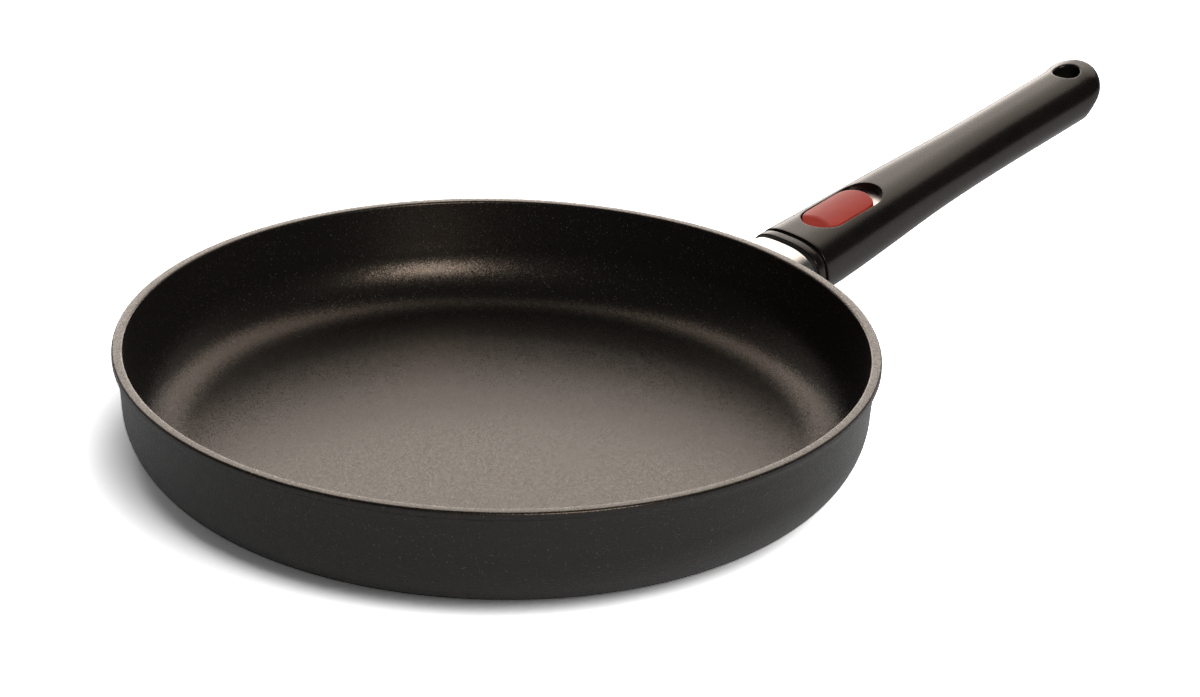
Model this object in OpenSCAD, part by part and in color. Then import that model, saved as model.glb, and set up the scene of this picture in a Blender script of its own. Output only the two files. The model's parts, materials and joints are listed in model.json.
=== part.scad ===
// Omelette pan with a handle that comes off: a cast pan with a steel tongue, and a moulded
// handle that slides over the tongue and is locked by a spring latch under a red slider.
// The pan stands on z = 0 with its centre at the origin, and the handle points along +X.
// Handle pieces are drawn in the handle's own frame: x runs along the handle from the plane
// where it meets the ferrule, y is across, z is up from the handle's axis.

/* [Pan] */
// Outside diameter of the pan over its rim
pan_d = 290; // [260:1:320]
// Height of the pan from the table to the top of the rim
pan_h = 45.6; // [42:0.2:60]
// Radius of the outer corner between the wall and the base
corner_r = 25.9; // [18:0.1:30]
// Radius of the inner corner between the wall and the floor
inner_corner_r = 22; // [14:0.5:28]
// Thickness of the wall where it meets the rim
wall_t = 2.2; // [1.8:0.1:4]
// Thickness of the floor
floor_t = 5.5; // [3:0.1:8]
// How much further out the wall is at the rim than at the corner
wall_flare = 1.2; // [0:0.1:4]
// How far the lip of the rim stands out of the wall
lip_out = 2.1; // [1:0.1:4]
// Height of the lip's upright side
lip_h = 2.5; // [1.5:0.1:4]
// Radius on the two edges of the rim
rim_round = 1; // [0.4:0.1:1.4]

/* [Handle place] */
// Angle that the handle rises at
handle_rise = 11.2; // [4:0.1:16]
// Drop from the rim's top to the handle's axis at the front of the handle
handle_drop = 10.8; // [10:0.1:14]
// Distance from the rim's edge to the front of the handle
ferrule_reach = 9.7; // [8:0.1:16]

/* [Handle shape] */
// Length of the handle
handle_len = 187; // [150:1:220]
// Width of the handle at its front
front_w = 37.8; // [36:0.1:44]
// Width of the grip
grip_w = 28.5; // [25:0.1:34]
// Height of the handle's straight top above its axis
handle_top = 12.3; // [12:0.1:15]
// Depth of the handle's front below its axis
front_drop = 13.2; // [12:0.1:16]
// Depth of the grip below the handle's axis
grip_drop = 10; // [7:0.1:12]
// Distance over which the width runs out from the front to the grip
taper_len = 130; // [110:1:145]
// Distance from the front to where the belly starts to rise
belly_start = 14; // [8:1:30]
// Distance from the front to where the belly has reached the grip
belly_end = 86; // [80:1:110]
// Squareness of the front's cross-section, where 2 is an ellipse
section_power = 2.7; // [2.4:0.1:3.4]
// Squareness of the grip's cross-section
grip_power = 2.3; // [2.1:0.1:3]
// Length of the rounding of the end seen from above
tip_round = 8; // [7:0.1:13]
// Length of the cut under the end
tip_cut = 14.4; // [10:0.1:22]
// Diameter of the hanging hole
hang_d = 11.4; // [7:0.1:12]
// Distance from the end of the handle to the centre of the hanging hole
hang_back = 11.4; // [10:0.1:18]

/* [Front of the handle] */
// Gap between the ferrule's end and the handle's front cap
part_gap = 0.3; // [0.2:0.05:0.6]
// Width of the black rim of the front cap
cap_rim = 1.2; // [0.8:0.1:1.6]
// Width of the satin collar
collar_w = 3.3; // [3:0.1:4.5]
// Width of the groove that holds the seal
seal_w = 1.5; // [0.8:0.1:1.6]
// How far the collar lies inside the shell's outline
collar_inset = 0.3; // [0.1:0.05:0.6]
// How far the seal lies inside the shell's outline
seal_inset = 1.3; // [0.9:0.1:1.6]
// How far the cap's core lies inside the shell's outline
core_inset = 2.6; // [2.2:0.1:3]
// How far the ferrule lies inside the shell's outline
ferrule_inset = 1; // [0.8:0.1:1.6]
// Thickness of the ferrule's sheet
ferrule_t = 0.8; // [0.5:0.1:1.2]

/* [Release slider] */
// Distance from the front of the handle to the slot
slot_start = 15.4; // [14.5:0.1:18]
// Length of the slot
slot_len = 39.9; // [38:0.1:42]
// Width of the slot
slot_w = 19.8; // [16:0.1:20.4]
// Gap between the button and the sides of the slot
button_gap = 0.3; // [0.2:0.05:0.5]
// Travel of the button
button_travel = 5; // [4:0.1:5.4]
// Space in front of the button
button_spare = 0.5; // [0.3:0.1:1]
// Space left behind the middle of the button at the end of its travel
button_back = 1.8; // [0.4:0.1:2.5]
// Radius of the button's crown
crown_r = 45; // [35:1:80]
// How far the button's crown lies under the handle's top
button_sink = 0.1; // [0:0.05:0.6]
// Length of the slope at the front of the button
bevel_len = 6.2; // [4:0.1:8]
// Drop of the slope at the front of the button
bevel_drop = 2.4; // [1:0.1:3]
// Thickness of the shell over the slide plate
roof_t = 3.6; // [3:0.1:3.9]
// Thickness of the slide plate
plate_t = 1.3; // [1:0.1:1.5]
// Gap above and below the slide plate
plate_gap = 0.3; // [0.2:0.05:0.4]
// How far the slide plate reaches past each side of the slot
plate_lap = 1.4; // [1:0.1:1.6]

/* [Tongue and lock] */
// Width of the tongue
tongue_w = 14; // [12:0.1:15]
// Thickness of the tongue
tongue_t = 3; // [2.4:0.1:3.2]
// Length of the tongue from its flange
tongue_len = 34; // [32:0.5:36]
// Height of the tongue's middle above the handle's axis
tongue_z = -0.5; // [-0.8:0.1:-0.3]
// Gap round the tongue in its guide
tongue_gap = 0.2; // [0.1:0.05:0.3]
// Thickness of the tongue's flange
flange_t = 2; // [1.6:0.1:2.2]
// Distance from the tongue's middle to each tongue screw
screw_up = 5.6; // [5.4:0.1:5.8]
// Length of the window in the tongue
window_len = 7.5; // [6:0.1:8]
// Width of the window in the tongue
window_w = 8.4; // [7:0.1:9]
// Distance from the front of the handle to the far end of the window
window_end = 27.5; // [26.5:0.1:28]
// Thickness of the latch spring
latch_t = 0.8; // [0.6:0.1:0.9]
// How far the hook reaches into the window
hook_depth = 2.1; // [1.5:0.1:2.4]
// Thickness of the side walls of the receiver
receiver_wall = 1.7; // [1.3:0.1:1.9]
// Thickness of the deck between the tongue and the latch
deck_t = 1.1; // [0.9:0.1:1.2]

/* [Return spring] */
// Diameter of the spring's wire
wire_d = 0.7; // [0.5:0.1:0.8]
// Outside diameter of the spring
spring_d = 4.2; // [4:0.1:4.4]
// Number of curls in the spring
curls = 8; // [6:1:9]
// Room for the spring at rest
spring_room = 19; // [17:0.5:22]

/* [Hidden] */
$fn = 64;
round_fn = 180;
corner_fn = 128;
over = 1;

// Pan
pan_r = pan_d / 2;
wall_top_r = pan_r - lip_out;
wall_low_r = wall_top_r - wall_flare;
base_r = wall_low_r - corner_r;
wall_thickening = 0.5;
inner_top_r = wall_top_r - wall_t;
inner_low_r = wall_low_r - wall_t - wall_thickening;
inner_base_r = inner_low_r - inner_corner_r;
lip_slope = 1;
lip_low = pan_h - lip_h;
lip_foot = lip_low - rim_round - lip_slope / 2;

// Handle frame and outline
handle_x = pan_r + ferrule_reach;
handle_z = pan_h - handle_drop;
cap_x = part_gap;
collar_x = cap_x + cap_rim;
seal_x = collar_x + collar_w;
shell_x = seal_x + seal_w;
taper_power = 1.4;
section_sides = 48;
body_rings = 26;
tip_rings = 12;
tip_start = handle_len - 20;
tip_drop = 0.5;
tip_z = handle_top - tip_drop;
tip_w_power = 2;
tip_under_power = 1.4;
tip_top_len = 1.6;
tip_flat = 0.03;

// Stretch of the handle over which its section turns rounder
rounder_start = 50;
rounder_end = 110;

// Lug on the pan's wall, and the screws that hold the tongue to it
lug_gap = 0.4;
lug_root = 6;
lug_inset = ferrule_inset + ferrule_t + lug_gap;
lug_reach = ferrule_reach + lip_out + lug_root;
screw_r = 1.9;
screw_depth = 8;
tapped_gap = 0.05;
screw_gap = 0.3;
washer_gap = 0.2;
washer_t = 0.7;
head_r = 3.2;
head_h = 2;
socket_width_share = 0.42;
socket_depth_share = 0.6;

// Front cap, shell mouth and cap screws
mouth_gap = 0.2;
core_len = 2.1;
core_end = shell_x + core_len;
mouth_end = core_end + mouth_gap;
cap_inset = 0.7;
cap_slant = 0.9;
cap_land = 0.2;
collar_edge = 0.5;
flange_half_w = 7.6;
flange_half_h = screw_up + head_r;
pocket_gap = 0.5;
pocket_half_w = flange_half_w + pocket_gap;
pocket_half_h = flange_half_h + pocket_gap;
pocket_end = flange_t + washer_t + head_h + pocket_gap;
cap_screw_y = 12.4;
cap_screw_z = -3;
cap_screw_r = 1.25;
cap_screw_gap = 0.25;
cap_head_r = 2.8;
cap_head_h = 2;
cap_head_gap = 0.3;
cap_head_x = cap_x + 0.8;
insert_r = 2.1;
insert_len = 8;

// Slider levels, counted down from the shell's top
plate_top = handle_top - roof_t - plate_gap;
plate_bottom = plate_top - plate_t;
receiver_top = plate_bottom - plate_gap;
slot_r = slot_w / 2;
slot_end = slot_start + slot_len;
button_w = slot_w - 2 * button_gap;
button_x = slot_start + button_spare;
button_end = slot_end - button_travel - button_back;
button_end_r = slot_r + 2.5;
button_rivet_r = 1.5;
button_rivet_in = 8;
button_rivet_depth = 2.2;
button_rivet_places = [button_x + button_rivet_in, button_end - button_rivet_in];
button_rivet_head_r = 2.6;
button_rivet_head_h = 0.8;
rivet_gap = 0.05;
rivet_spare = 0.1;
plate_half_w = slot_w / 2 + plate_lap;
plate_x = mouth_end + 1.9;
plate_end = slot_end + 3;
tab_t = 1.2;
tab_half_w = 4.5;
tab_gap = 0.4;

// Tongue, receiver and latch levels
tongue_nose = 3;
tongue_top = tongue_z + tongue_t / 2;
tongue_end = flange_t + tongue_len;
channel_top = tongue_top + tongue_gap;
channel_bottom = tongue_z - tongue_t / 2 - tongue_gap;
channel_half_w = tongue_w / 2 + tongue_gap;
channel_end = tongue_end + 4;
deck_top = channel_top + deck_t;
channel_wall = receiver_wall - 0.3;
receiver_half_w = channel_half_w + channel_wall;
trough_half_w = receiver_half_w - receiver_wall;
trough_start = mouth_end + 3;
receiver_floor_t = 1.6;
receiver_bottom = channel_bottom - receiver_floor_t;
receiver_flange = 1.2;
receiver_flange_t = 1.3;
flange_seat_t = 1.5;
spring_x = plate_end + 0.1;
spring_z = deck_top + spring_d / 2 + 0.2;
rod_r = 1;
rod_gap = 0.05;
rod_front = plate_end - tab_t - 2;
rod_collar_t = 0.8;
rod_wall_x = spring_x + spring_room + rod_collar_t;
rod_wall_t = 2;
rod_hole_gap = 0.3;
receiver_end = rod_wall_x + rod_wall_t;
rod_end = receiver_end + 1.6;
clip_t = 0.6;
clip_r = 2.2;
clip_slot_w = 1.2;
groove_depth = 0.3;
clip_gap = 0.02;
latch_half_w = 4;
latch_end = 55;
hook_t = 1;
hook_gap = 0.2;
hook_x = window_end - hook_gap - hook_t;
hook_corner = 0.6;
hook_nose = 0.8;
ear_x = 29;
ear_w = 3;
ear_gap = 0.5;
ear_half_w = receiver_half_w + 2;
latch_rivet_x = 51;
latch_rivet_y = 2.4;
latch_rivet_r = 1;
latch_rivet_head_r = 1.7;
latch_rivet_head_h = 0.8;
leg_t = 1.2;
leg_in = receiver_half_w + 0.6;
leg_gap = 0.4;
wedge_tip = ear_x - 0.8;
wedge_len = 6.5;
wedge_rise = 3.9;
wedge_top = deck_top - 0.3;
wedge_low = deck_top - 1.4;
wedge_root = wedge_tip - wedge_len;
leg_back = wedge_root - 7;
leg_corner = 3;
cavity_gap = 0.2;
cavity_spare = 0.5;
cavity_end = receiver_end + 2.5;

module in_handle() {
    translate([handle_x, 0, handle_z]) rotate([0, -handle_rise, 0]) children();
}

// A flat outline (across, up) drawn out along the handle from x0 to x1
module along(x0, x1) {
    translate([x0, 0, 0]) rotate([90, 0, 90]) linear_extrude(x1 - x0) children();
}

module block(x0, x1, half_w, z0, z1) {
    translate([x0, -half_w, z0]) cube([x1 - x0, 2 * half_w, z1 - z0]);
}

module round_bar(x0, x1, y, z, r) {
    translate([x0, y, z]) rotate([0, 90, 0]) cylinder(r = r, h = x1 - x0);
}

function smooth(t) = let (u = min(1, max(0, t))) u * u * (3 - 2 * u);
function round_off(t, power) = pow(1 - pow(min(1, max(0, t)), power), 1 / power);
function signed_power(v, p) = sign(v) * pow(abs(v), p);

// Half width, top and bottom of the handle's outline at a distance x from its front
function taper(x) = pow(max(0, 1 - (x - shell_x) / (taper_len - shell_x)), taper_power);
function plain_half_w(x) = grip_w / 2 + (front_w - grip_w) / 2 * taper(x);
function half_w_at(x) = plain_half_w(x) * round_off((x - handle_len + tip_round) / tip_round, tip_w_power);
function plain_bottom(x) =
    -front_drop + (front_drop - grip_drop) * smooth((x - belly_start) / (belly_end - belly_start));
function bottom_at(x) =
    tip_z - (tip_z - plain_bottom(x)) * round_off((x - handle_len + tip_cut) / tip_cut, tip_under_power);
function top_at(x) =
    tip_z + (handle_top - tip_z) * round_off((x - handle_len + tip_top_len) / tip_top_len, tip_w_power);

function power_at(x) = section_power
    + (grip_power - section_power) * smooth((x - rounder_start) / (rounder_end - rounder_start));

function outline(half_w, top, bottom, power) = [for (i = [0:section_sides - 1])
    let (a = 360 * i / section_sides, p = 2 / power)
    [half_w * signed_power(cos(a), p), (top + bottom) / 2 + (top - bottom) / 2 * signed_power(sin(a), p)]];
function ring_at(x, yz) = [for (p = yz) [x, p[0], p[1]]];
function shell_ring(x) = ring_at(x, outline(half_w_at(x), top_at(x), bottom_at(x), power_at(x)));
function front_outline(inset) =
    outline(front_w / 2 - inset, handle_top - inset, inset - front_drop, section_power);

// A closed skin over rings that all have the same number of points
module skin(rings) {
    n = len(rings[0]);
    last = (len(rings) - 1) * n;
    bands = [0:len(rings) - 2];
    polyhedron(
        points = [for (r = rings) each r],
        faces = concat(
            [[for (i = [0:n - 1]) i]],
            [for (k = bands, i = [0:n - 1]) [k * n + i, (k + 1) * n + i, (k + 1) * n + (i + 1) % n]],
            [for (k = bands, i = [0:n - 1]) [k * n + i, (k + 1) * n + (i + 1) % n, k * n + (i + 1) % n]],
            [[for (i = [n - 1:-1:0]) last + i]]),
        convexity = 6);
}

module outer_profile() {
    polygon([[0, 0], [base_r, 0], [wall_low_r, corner_r], [wall_top_r, lip_foot], [pan_r, lip_low],
        [pan_r, pan_h - rim_round], [pan_r - rim_round, pan_h], [0, pan_h]]);
    intersection() {
        translate([base_r, corner_r]) circle(corner_r, $fn = corner_fn);
        square([wall_low_r + over, corner_r]);
    }
    translate([pan_r - rim_round, pan_h - rim_round]) circle(rim_round);
}

module inner_profile() {
    polygon([[0, floor_t], [inner_base_r, floor_t], [inner_low_r, floor_t + inner_corner_r],
        [inner_top_r, pan_h - rim_round], [inner_top_r, pan_h + over], [0, pan_h + over]]);
    intersection() {
        translate([inner_base_r, floor_t + inner_corner_r]) circle(inner_corner_r, $fn = corner_fn);
        square([inner_low_r + over, floor_t + inner_corner_r]);
    }
    difference() {
        translate([inner_top_r - over, pan_h - rim_round]) square(rim_round + over);
        translate([inner_top_r + rim_round, pan_h - rim_round]) circle(rim_round);
    }
}

module pan_body() {
    color([0.25, 0.24, 0.23]) difference() {
        union() {
            rotate_extrude($fn = round_fn) outer_profile();
            in_handle() along(-lug_reach, -ferrule_t) polygon(front_outline(lug_inset));
        }
        rotate_extrude($fn = round_fn) inner_profile();
        in_handle() for (s = [-1, 1]) {
            round_bar(-screw_depth, 0, 0, tongue_z + s * screw_up, screw_r + tapped_gap);
        }
    }
}

module ferrule() {
    color([0.85, 0.83, 0.8]) difference() {
        in_handle() difference() {
            along(-lug_reach, 0) polygon(front_outline(ferrule_inset));
            along(-lug_reach - over, -ferrule_t) polygon(front_outline(ferrule_inset + ferrule_t));
            for (s = [-1, 1]) {
                round_bar(-over - ferrule_t, over, 0, tongue_z + s * screw_up, screw_r + screw_gap);
            }
        }
        rotate_extrude($fn = round_fn) outer_profile();
    }
}

module tongue() {
    color([0.7, 0.7, 0.7]) in_handle() difference() {
        union() {
            block(0, flange_t, flange_half_w, tongue_z - flange_half_h, tongue_z + flange_half_h);
            translate([0, 0, tongue_z - tongue_t / 2]) linear_extrude(tongue_t) polygon([
                [0, -tongue_w / 2], [tongue_end - tongue_nose, -tongue_w / 2],
                [tongue_end, -tongue_w / 2 + tongue_nose], [tongue_end, tongue_w / 2 - tongue_nose],
                [tongue_end - tongue_nose, tongue_w / 2], [0, tongue_w / 2]]);
        }
        block(window_end - window_len, window_end, window_w / 2, tongue_z - tongue_t, tongue_z + tongue_t);
        for (s = [-1, 1]) {
            round_bar(-over, flange_t + over, 0, tongue_z + s * screw_up, screw_r + screw_gap);
        }
    }
}

module socket_screw(x0, x1, y, z, r, cap_r, cap_h) {
    difference() {
        union() {
            round_bar(x0, x1, y, z, r);
            round_bar(x0, x0 + cap_h, y, z, cap_r);
        }
        translate([x0 - over, y, z]) rotate([0, 90, 0])
            cylinder(r = cap_r * socket_width_share, h = cap_h * socket_depth_share + over, $fn = 6);
    }
}

module tongue_screws() {
    color([0.6, 0.6, 0.6]) in_handle() for (s = [-1, 1]) {
        mirror([1, 0, 0]) socket_screw(-flange_t - washer_t - head_h, screw_depth - screw_gap, 0,
            tongue_z + s * screw_up, screw_r, head_r, head_h);
    }
}

module lock_washers() {
    color([0.5, 0.5, 0.5]) in_handle() for (s = [-1, 1]) difference() {
        round_bar(flange_t, flange_t + washer_t, 0, tongue_z + s * screw_up, head_r);
        round_bar(0, flange_t + head_h, 0, tongue_z + s * screw_up, screw_r + washer_gap);
    }
}

module shell_skin() {
    tip_len = handle_len - tip_flat - tip_start;
    skin([for (i = [0:body_rings - 1]) shell_ring(shell_x + (tip_start - shell_x) * i / body_rings),
        for (i = [0:tip_rings]) shell_ring(tip_start + tip_len * sin(90 * i / tip_rings))]);
}

module slot_outline(x0, x1, r) {
    translate([x0 + r, 0]) circle(r);
    translate([x1 - r, 0]) circle(r);
    translate([x0 + r, -r]) square([x1 - x0 - 2 * r, 2 * r]);
}

// The shell is open at its front, and its cavity holds the receiver, the plate and its legs
module handle_shell() {
    leg_out = leg_in + leg_t + leg_gap;
    cavity_top = receiver_top + plate_gap;
    color([0.3, 0.29, 0.28]) in_handle() difference() {
        shell_skin();
        along(shell_x - over, mouth_end) polygon(front_outline(core_inset - mouth_gap));
        block(shell_x, cavity_end, receiver_half_w + cavity_gap, receiver_bottom - cavity_gap, cavity_top);
        block(shell_x, wedge_tip + button_travel + cavity_spare, leg_out, wedge_low - leg_gap, cavity_top);
        block(shell_x, plate_end + button_travel + cavity_spare, plate_half_w + cavity_gap, receiver_top,
            plate_top + plate_gap);
        block(shell_x, mouth_end + flange_seat_t, receiver_half_w + receiver_flange + cavity_gap,
            receiver_bottom - receiver_flange - cavity_gap, cavity_top);
        translate([0, 0, plate_top]) linear_extrude(roof_t + plate_gap + over)
            slot_outline(slot_start, slot_end, slot_r);
        translate([handle_len - hang_back, 0, -grip_drop - over])
            cylinder(d = hang_d, h = grip_drop + handle_top + 2 * over);
        for (s = [-1, 1]) {
            round_bar(mouth_end - over, mouth_end + insert_len, s * cap_screw_y, cap_screw_z, insert_r);
        }
    }
}

module front_cap() {
    color([0.06, 0.06, 0.06]) in_handle() difference() {
        union() {
            skin([ring_at(cap_x, front_outline(cap_inset + cap_slant)),
                ring_at(collar_x - cap_land, front_outline(cap_inset)),
                ring_at(collar_x, front_outline(cap_inset))]);
            along(collar_x, core_end) polygon(front_outline(core_inset));
        }
        block(cap_x - over, pocket_end, pocket_half_w, tongue_z - pocket_half_h, tongue_z + pocket_half_h);
        block(0, core_end + over, channel_half_w + mouth_gap, channel_bottom - mouth_gap,
            channel_top + mouth_gap);
        for (s = [-1, 1]) {
            round_bar(0, cap_head_x + cap_head_h, s * cap_screw_y, cap_screw_z, cap_head_r + cap_head_gap);
            round_bar(0, core_end + over, s * cap_screw_y, cap_screw_z, cap_screw_r + cap_screw_gap);
        }
    }
}

module collar_ring() {
    color([0.36, 0.35, 0.33]) in_handle() difference() {
        skin([ring_at(collar_x, front_outline(collar_inset + collar_edge)),
            ring_at(collar_x + collar_edge, front_outline(collar_inset)),
            ring_at(seal_x, front_outline(collar_inset))]);
        along(0, shell_x) polygon(front_outline(core_inset));
    }
}

module cap_seal() {
    color([0.04, 0.04, 0.04]) in_handle() difference() {
        along(seal_x, shell_x) polygon(front_outline(seal_inset));
        along(0, shell_x + over) polygon(front_outline(core_inset));
    }
}

module cap_screws() {
    color([0.6, 0.6, 0.6]) in_handle() for (s = [-1, 1]) {
        socket_screw(cap_head_x, mouth_end + insert_len - over, s * cap_screw_y, cap_screw_z,
            cap_screw_r, cap_head_r, cap_head_h);
    }
}

module threaded_inserts() {
    color([0.75, 0.6, 0.25]) in_handle() for (s = [-1, 1]) difference() {
        round_bar(mouth_end, mouth_end + insert_len, s * cap_screw_y, cap_screw_z, insert_r);
        round_bar(0, mouth_end + insert_len + over, s * cap_screw_y, cap_screw_z, cap_screw_r + tapped_gap);
    }
}

module receiver() {
    color([0.62, 0.62, 0.6]) in_handle() difference() {
        union() {
            block(mouth_end, receiver_end, receiver_half_w, receiver_bottom, receiver_top);
            block(mouth_end, mouth_end + receiver_flange_t, receiver_half_w + receiver_flange,
                receiver_bottom - receiver_flange, receiver_top);
        }
        block(0, channel_end, channel_half_w, channel_bottom, channel_top);
        block(trough_start, rod_wall_x, trough_half_w, deck_top, receiver_top + over);
        block(window_end - window_len - ear_gap, window_end + ear_gap, window_w / 2 + mouth_gap,
            channel_top - over, deck_top + over);
        block(ear_x - ear_gap, ear_x + ear_w + ear_gap, receiver_half_w + over, deck_top,
            receiver_top + over);
        round_bar(rod_wall_x - over, receiver_end + over, 0, spring_z, rod_r + rod_gap);
        for (s = [-1, 1]) {
            translate([latch_rivet_x, s * latch_rivet_y, tongue_z])
                cylinder(r = latch_rivet_r + rivet_gap, h = deck_top - tongue_z + over);
        }
    }
}

module latch_spring() {
    hook_end = tongue_top - hook_depth;
    latch_top = deck_top + latch_t;
    color([0.75, 0.75, 0.78]) in_handle() difference() {
        union() {
            rotate([90, 0, 0]) translate([0, 0, -latch_half_w]) linear_extrude(2 * latch_half_w) polygon([
                [hook_x + hook_t, hook_end], [hook_x + hook_t, deck_top], [latch_end, deck_top],
                [latch_end, latch_top], [hook_x + hook_corner, latch_top],
                [hook_x, latch_top - hook_corner], [hook_x, hook_end + hook_nose],
                [hook_x + hook_corner, hook_end]]);
            block(ear_x, ear_x + ear_w, ear_half_w, deck_top, latch_top);
        }
        for (s = [-1, 1]) {
            translate([latch_rivet_x, s * latch_rivet_y, deck_top - over])
                cylinder(r = latch_rivet_r + rivet_gap, h = latch_t + 2 * over);
        }
    }
}

module latch_rivets() {
    latch_top = deck_top + latch_t;
    color([0.7, 0.7, 0.7]) in_handle() for (s = [-1, 1]) {
        translate([latch_rivet_x, s * latch_rivet_y, tongue_z])
            cylinder(r = latch_rivet_r, h = latch_top + latch_rivet_head_h / 2 - tongue_z);
        translate([latch_rivet_x, s * latch_rivet_y, latch_top])
            cylinder(r = latch_rivet_head_r, h = latch_rivet_head_h);
    }
}

module spring_rod() {
    color([0.7, 0.7, 0.7]) in_handle() difference() {
        union() {
            round_bar(rod_front, rod_end, 0, spring_z, rod_r);
            round_bar(rod_wall_x - rod_collar_t, rod_wall_x, 0, spring_z, spring_d / 2);
        }
        difference() {
            round_bar(receiver_end, receiver_end + clip_t, 0, spring_z, rod_r + over);
            round_bar(receiver_end - over, receiver_end + over, 0, spring_z, rod_r - groove_depth);
        }
    }
}

module rod_clip() {
    color([0.3, 0.3, 0.3]) in_handle() difference() {
        round_bar(receiver_end, receiver_end + clip_t, 0, spring_z, clip_r);
        round_bar(receiver_end - over, receiver_end + over, 0, spring_z, rod_r - groove_depth + clip_gap);
        block(receiver_end - over, receiver_end + over, clip_slot_w / 2, spring_z - clip_r - over, spring_z);
    }
}

// The return spring is one helical tube: a ring of wire_sides points at each step of the helix
wire_sides = 6;
steps_per_curl = 8;
spring_end_gap = 0.2;
helix_r = (spring_d - wire_d) / 2;
helix_x = spring_x + wire_d / 2 + spring_end_gap;
helix_len = spring_room - wire_d - 2 * spring_end_gap;
helix_steps = curls * steps_per_curl;
function helix_point(t) = let (a = 360 * curls * t)
    [helix_x + helix_len * t, helix_r * cos(a), spring_z + helix_r * sin(a)];
function helix_ring(t) = let (a = 360 * curls * t) [for (k = [0:wire_sides - 1])
    let (b = 360 * k / wire_sides, out = wire_d / 2 * cos(b))
    helix_point(t) + [wire_d / 2 * sin(b), out * cos(a), out * sin(a)]];
function gap_between(i, j) =
    norm(helix_point(i / helix_steps) - helix_point(j / helix_steps)) - wire_d;
gaps = [for (i = [0:helix_steps - steps_per_curl / 2], j = [i + steps_per_curl / 2:helix_steps])
    gap_between(i, j)];
echo(str("Least gap between the curls of the return spring: ", min(gaps), " mm"));

module return_spring() {
    color([0.7, 0.7, 0.72]) in_handle() skin([for (i = [0:helix_steps]) helix_ring(i / helix_steps)]);
}

// The button's end is a flatter arc than the slot's, cut back so that it clears the slot's end
module button_outline() {
    intersection() {
        slot_outline(button_x, slot_end + slot_r, button_w / 2);
        slot_outline(button_x - slot_r, slot_end - button_gap - button_travel, button_w / 2);
        union() {
            translate([button_end - button_end_r, 0]) circle(button_end_r);
            translate([0, -slot_r]) square([button_end - button_end_r, 2 * slot_r]);
        }
    }
}

module release_button() {
    crown_top = handle_top - button_sink;
    color([0.72, 0.16, 0.13]) in_handle() difference() {
        intersection() {
            translate([0, 0, plate_top]) linear_extrude(crown_top - plate_top) button_outline();
            round_bar(button_x - over, button_end + over, 0, crown_top - crown_r, crown_r);
        }
        translate([button_x, -button_w, crown_top - bevel_drop])
            rotate([0, -atan(bevel_drop / bevel_len), 0]) translate([-over, 0, 0])
            cube([bevel_len + 3 * over, 2 * button_w, bevel_drop + 3 * over]);
        for (x = button_rivet_places) {
            translate([x, 0, plate_top - over])
                cylinder(r = button_rivet_r + rivet_gap, h = button_rivet_depth + rivet_spare + over);
        }
    }
}

// The plate's two legs reach down beside the receiver, and their ramps lift the latch's ears
module slide_plate() {
    plate_middle = plate_bottom + plate_t / 2;
    color([0.8, 0.8, 0.8]) in_handle() difference() {
        union() {
            block(plate_x, plate_end, plate_half_w, plate_bottom, plate_top);
            block(plate_end - tab_t, plate_end, tab_half_w, deck_top + tab_gap, plate_top);
            for (s = [-1, 1]) {
                translate([0, s * (leg_in + leg_t / 2) + leg_t / 2, 0]) rotate([90, 0, 0])
                    linear_extrude(leg_t) polygon([[leg_back, plate_middle], [wedge_root, plate_middle],
                        [wedge_root, wedge_top + wedge_rise], [wedge_tip, wedge_top],
                        [wedge_tip, wedge_low], [leg_back + leg_corner, wedge_low],
                        [leg_back, wedge_low + leg_corner]]);
            }
        }
        round_bar(plate_end - 2 * tab_t, plate_end + over, 0, spring_z, rod_r + rod_hole_gap);
        for (x = button_rivet_places) {
            translate([x, 0, plate_bottom - over])
                cylinder(r = button_rivet_r + rivet_gap, h = plate_t + 2 * over);
        }
    }
}

module button_rivets() {
    color([0.7, 0.7, 0.7]) in_handle() for (x = button_rivet_places) {
        translate([x, 0, plate_bottom - button_rivet_head_h / 2])
            cylinder(r = button_rivet_r, h = button_rivet_head_h / 2 + plate_t + button_rivet_depth);
        translate([x, 0, plate_bottom - button_rivet_head_h])
            cylinder(r = button_rivet_head_r, h = button_rivet_head_h);
    }
}

pan_body();
ferrule();
tongue();
tongue_screws();
lock_washers();
handle_shell();
front_cap();
collar_ring();
cap_seal();
cap_screws();
threaded_inserts();
receiver();
latch_spring();
latch_rivets();
spring_rod();
rod_clip();
return_spring();
release_button();
slide_plate();
button_rivets();
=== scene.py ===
import json
import math

import bmesh
import bpy
import numpy as np
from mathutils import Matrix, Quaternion, Vector
from mathutils.geometry import delaunay_2d_cdt

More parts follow.
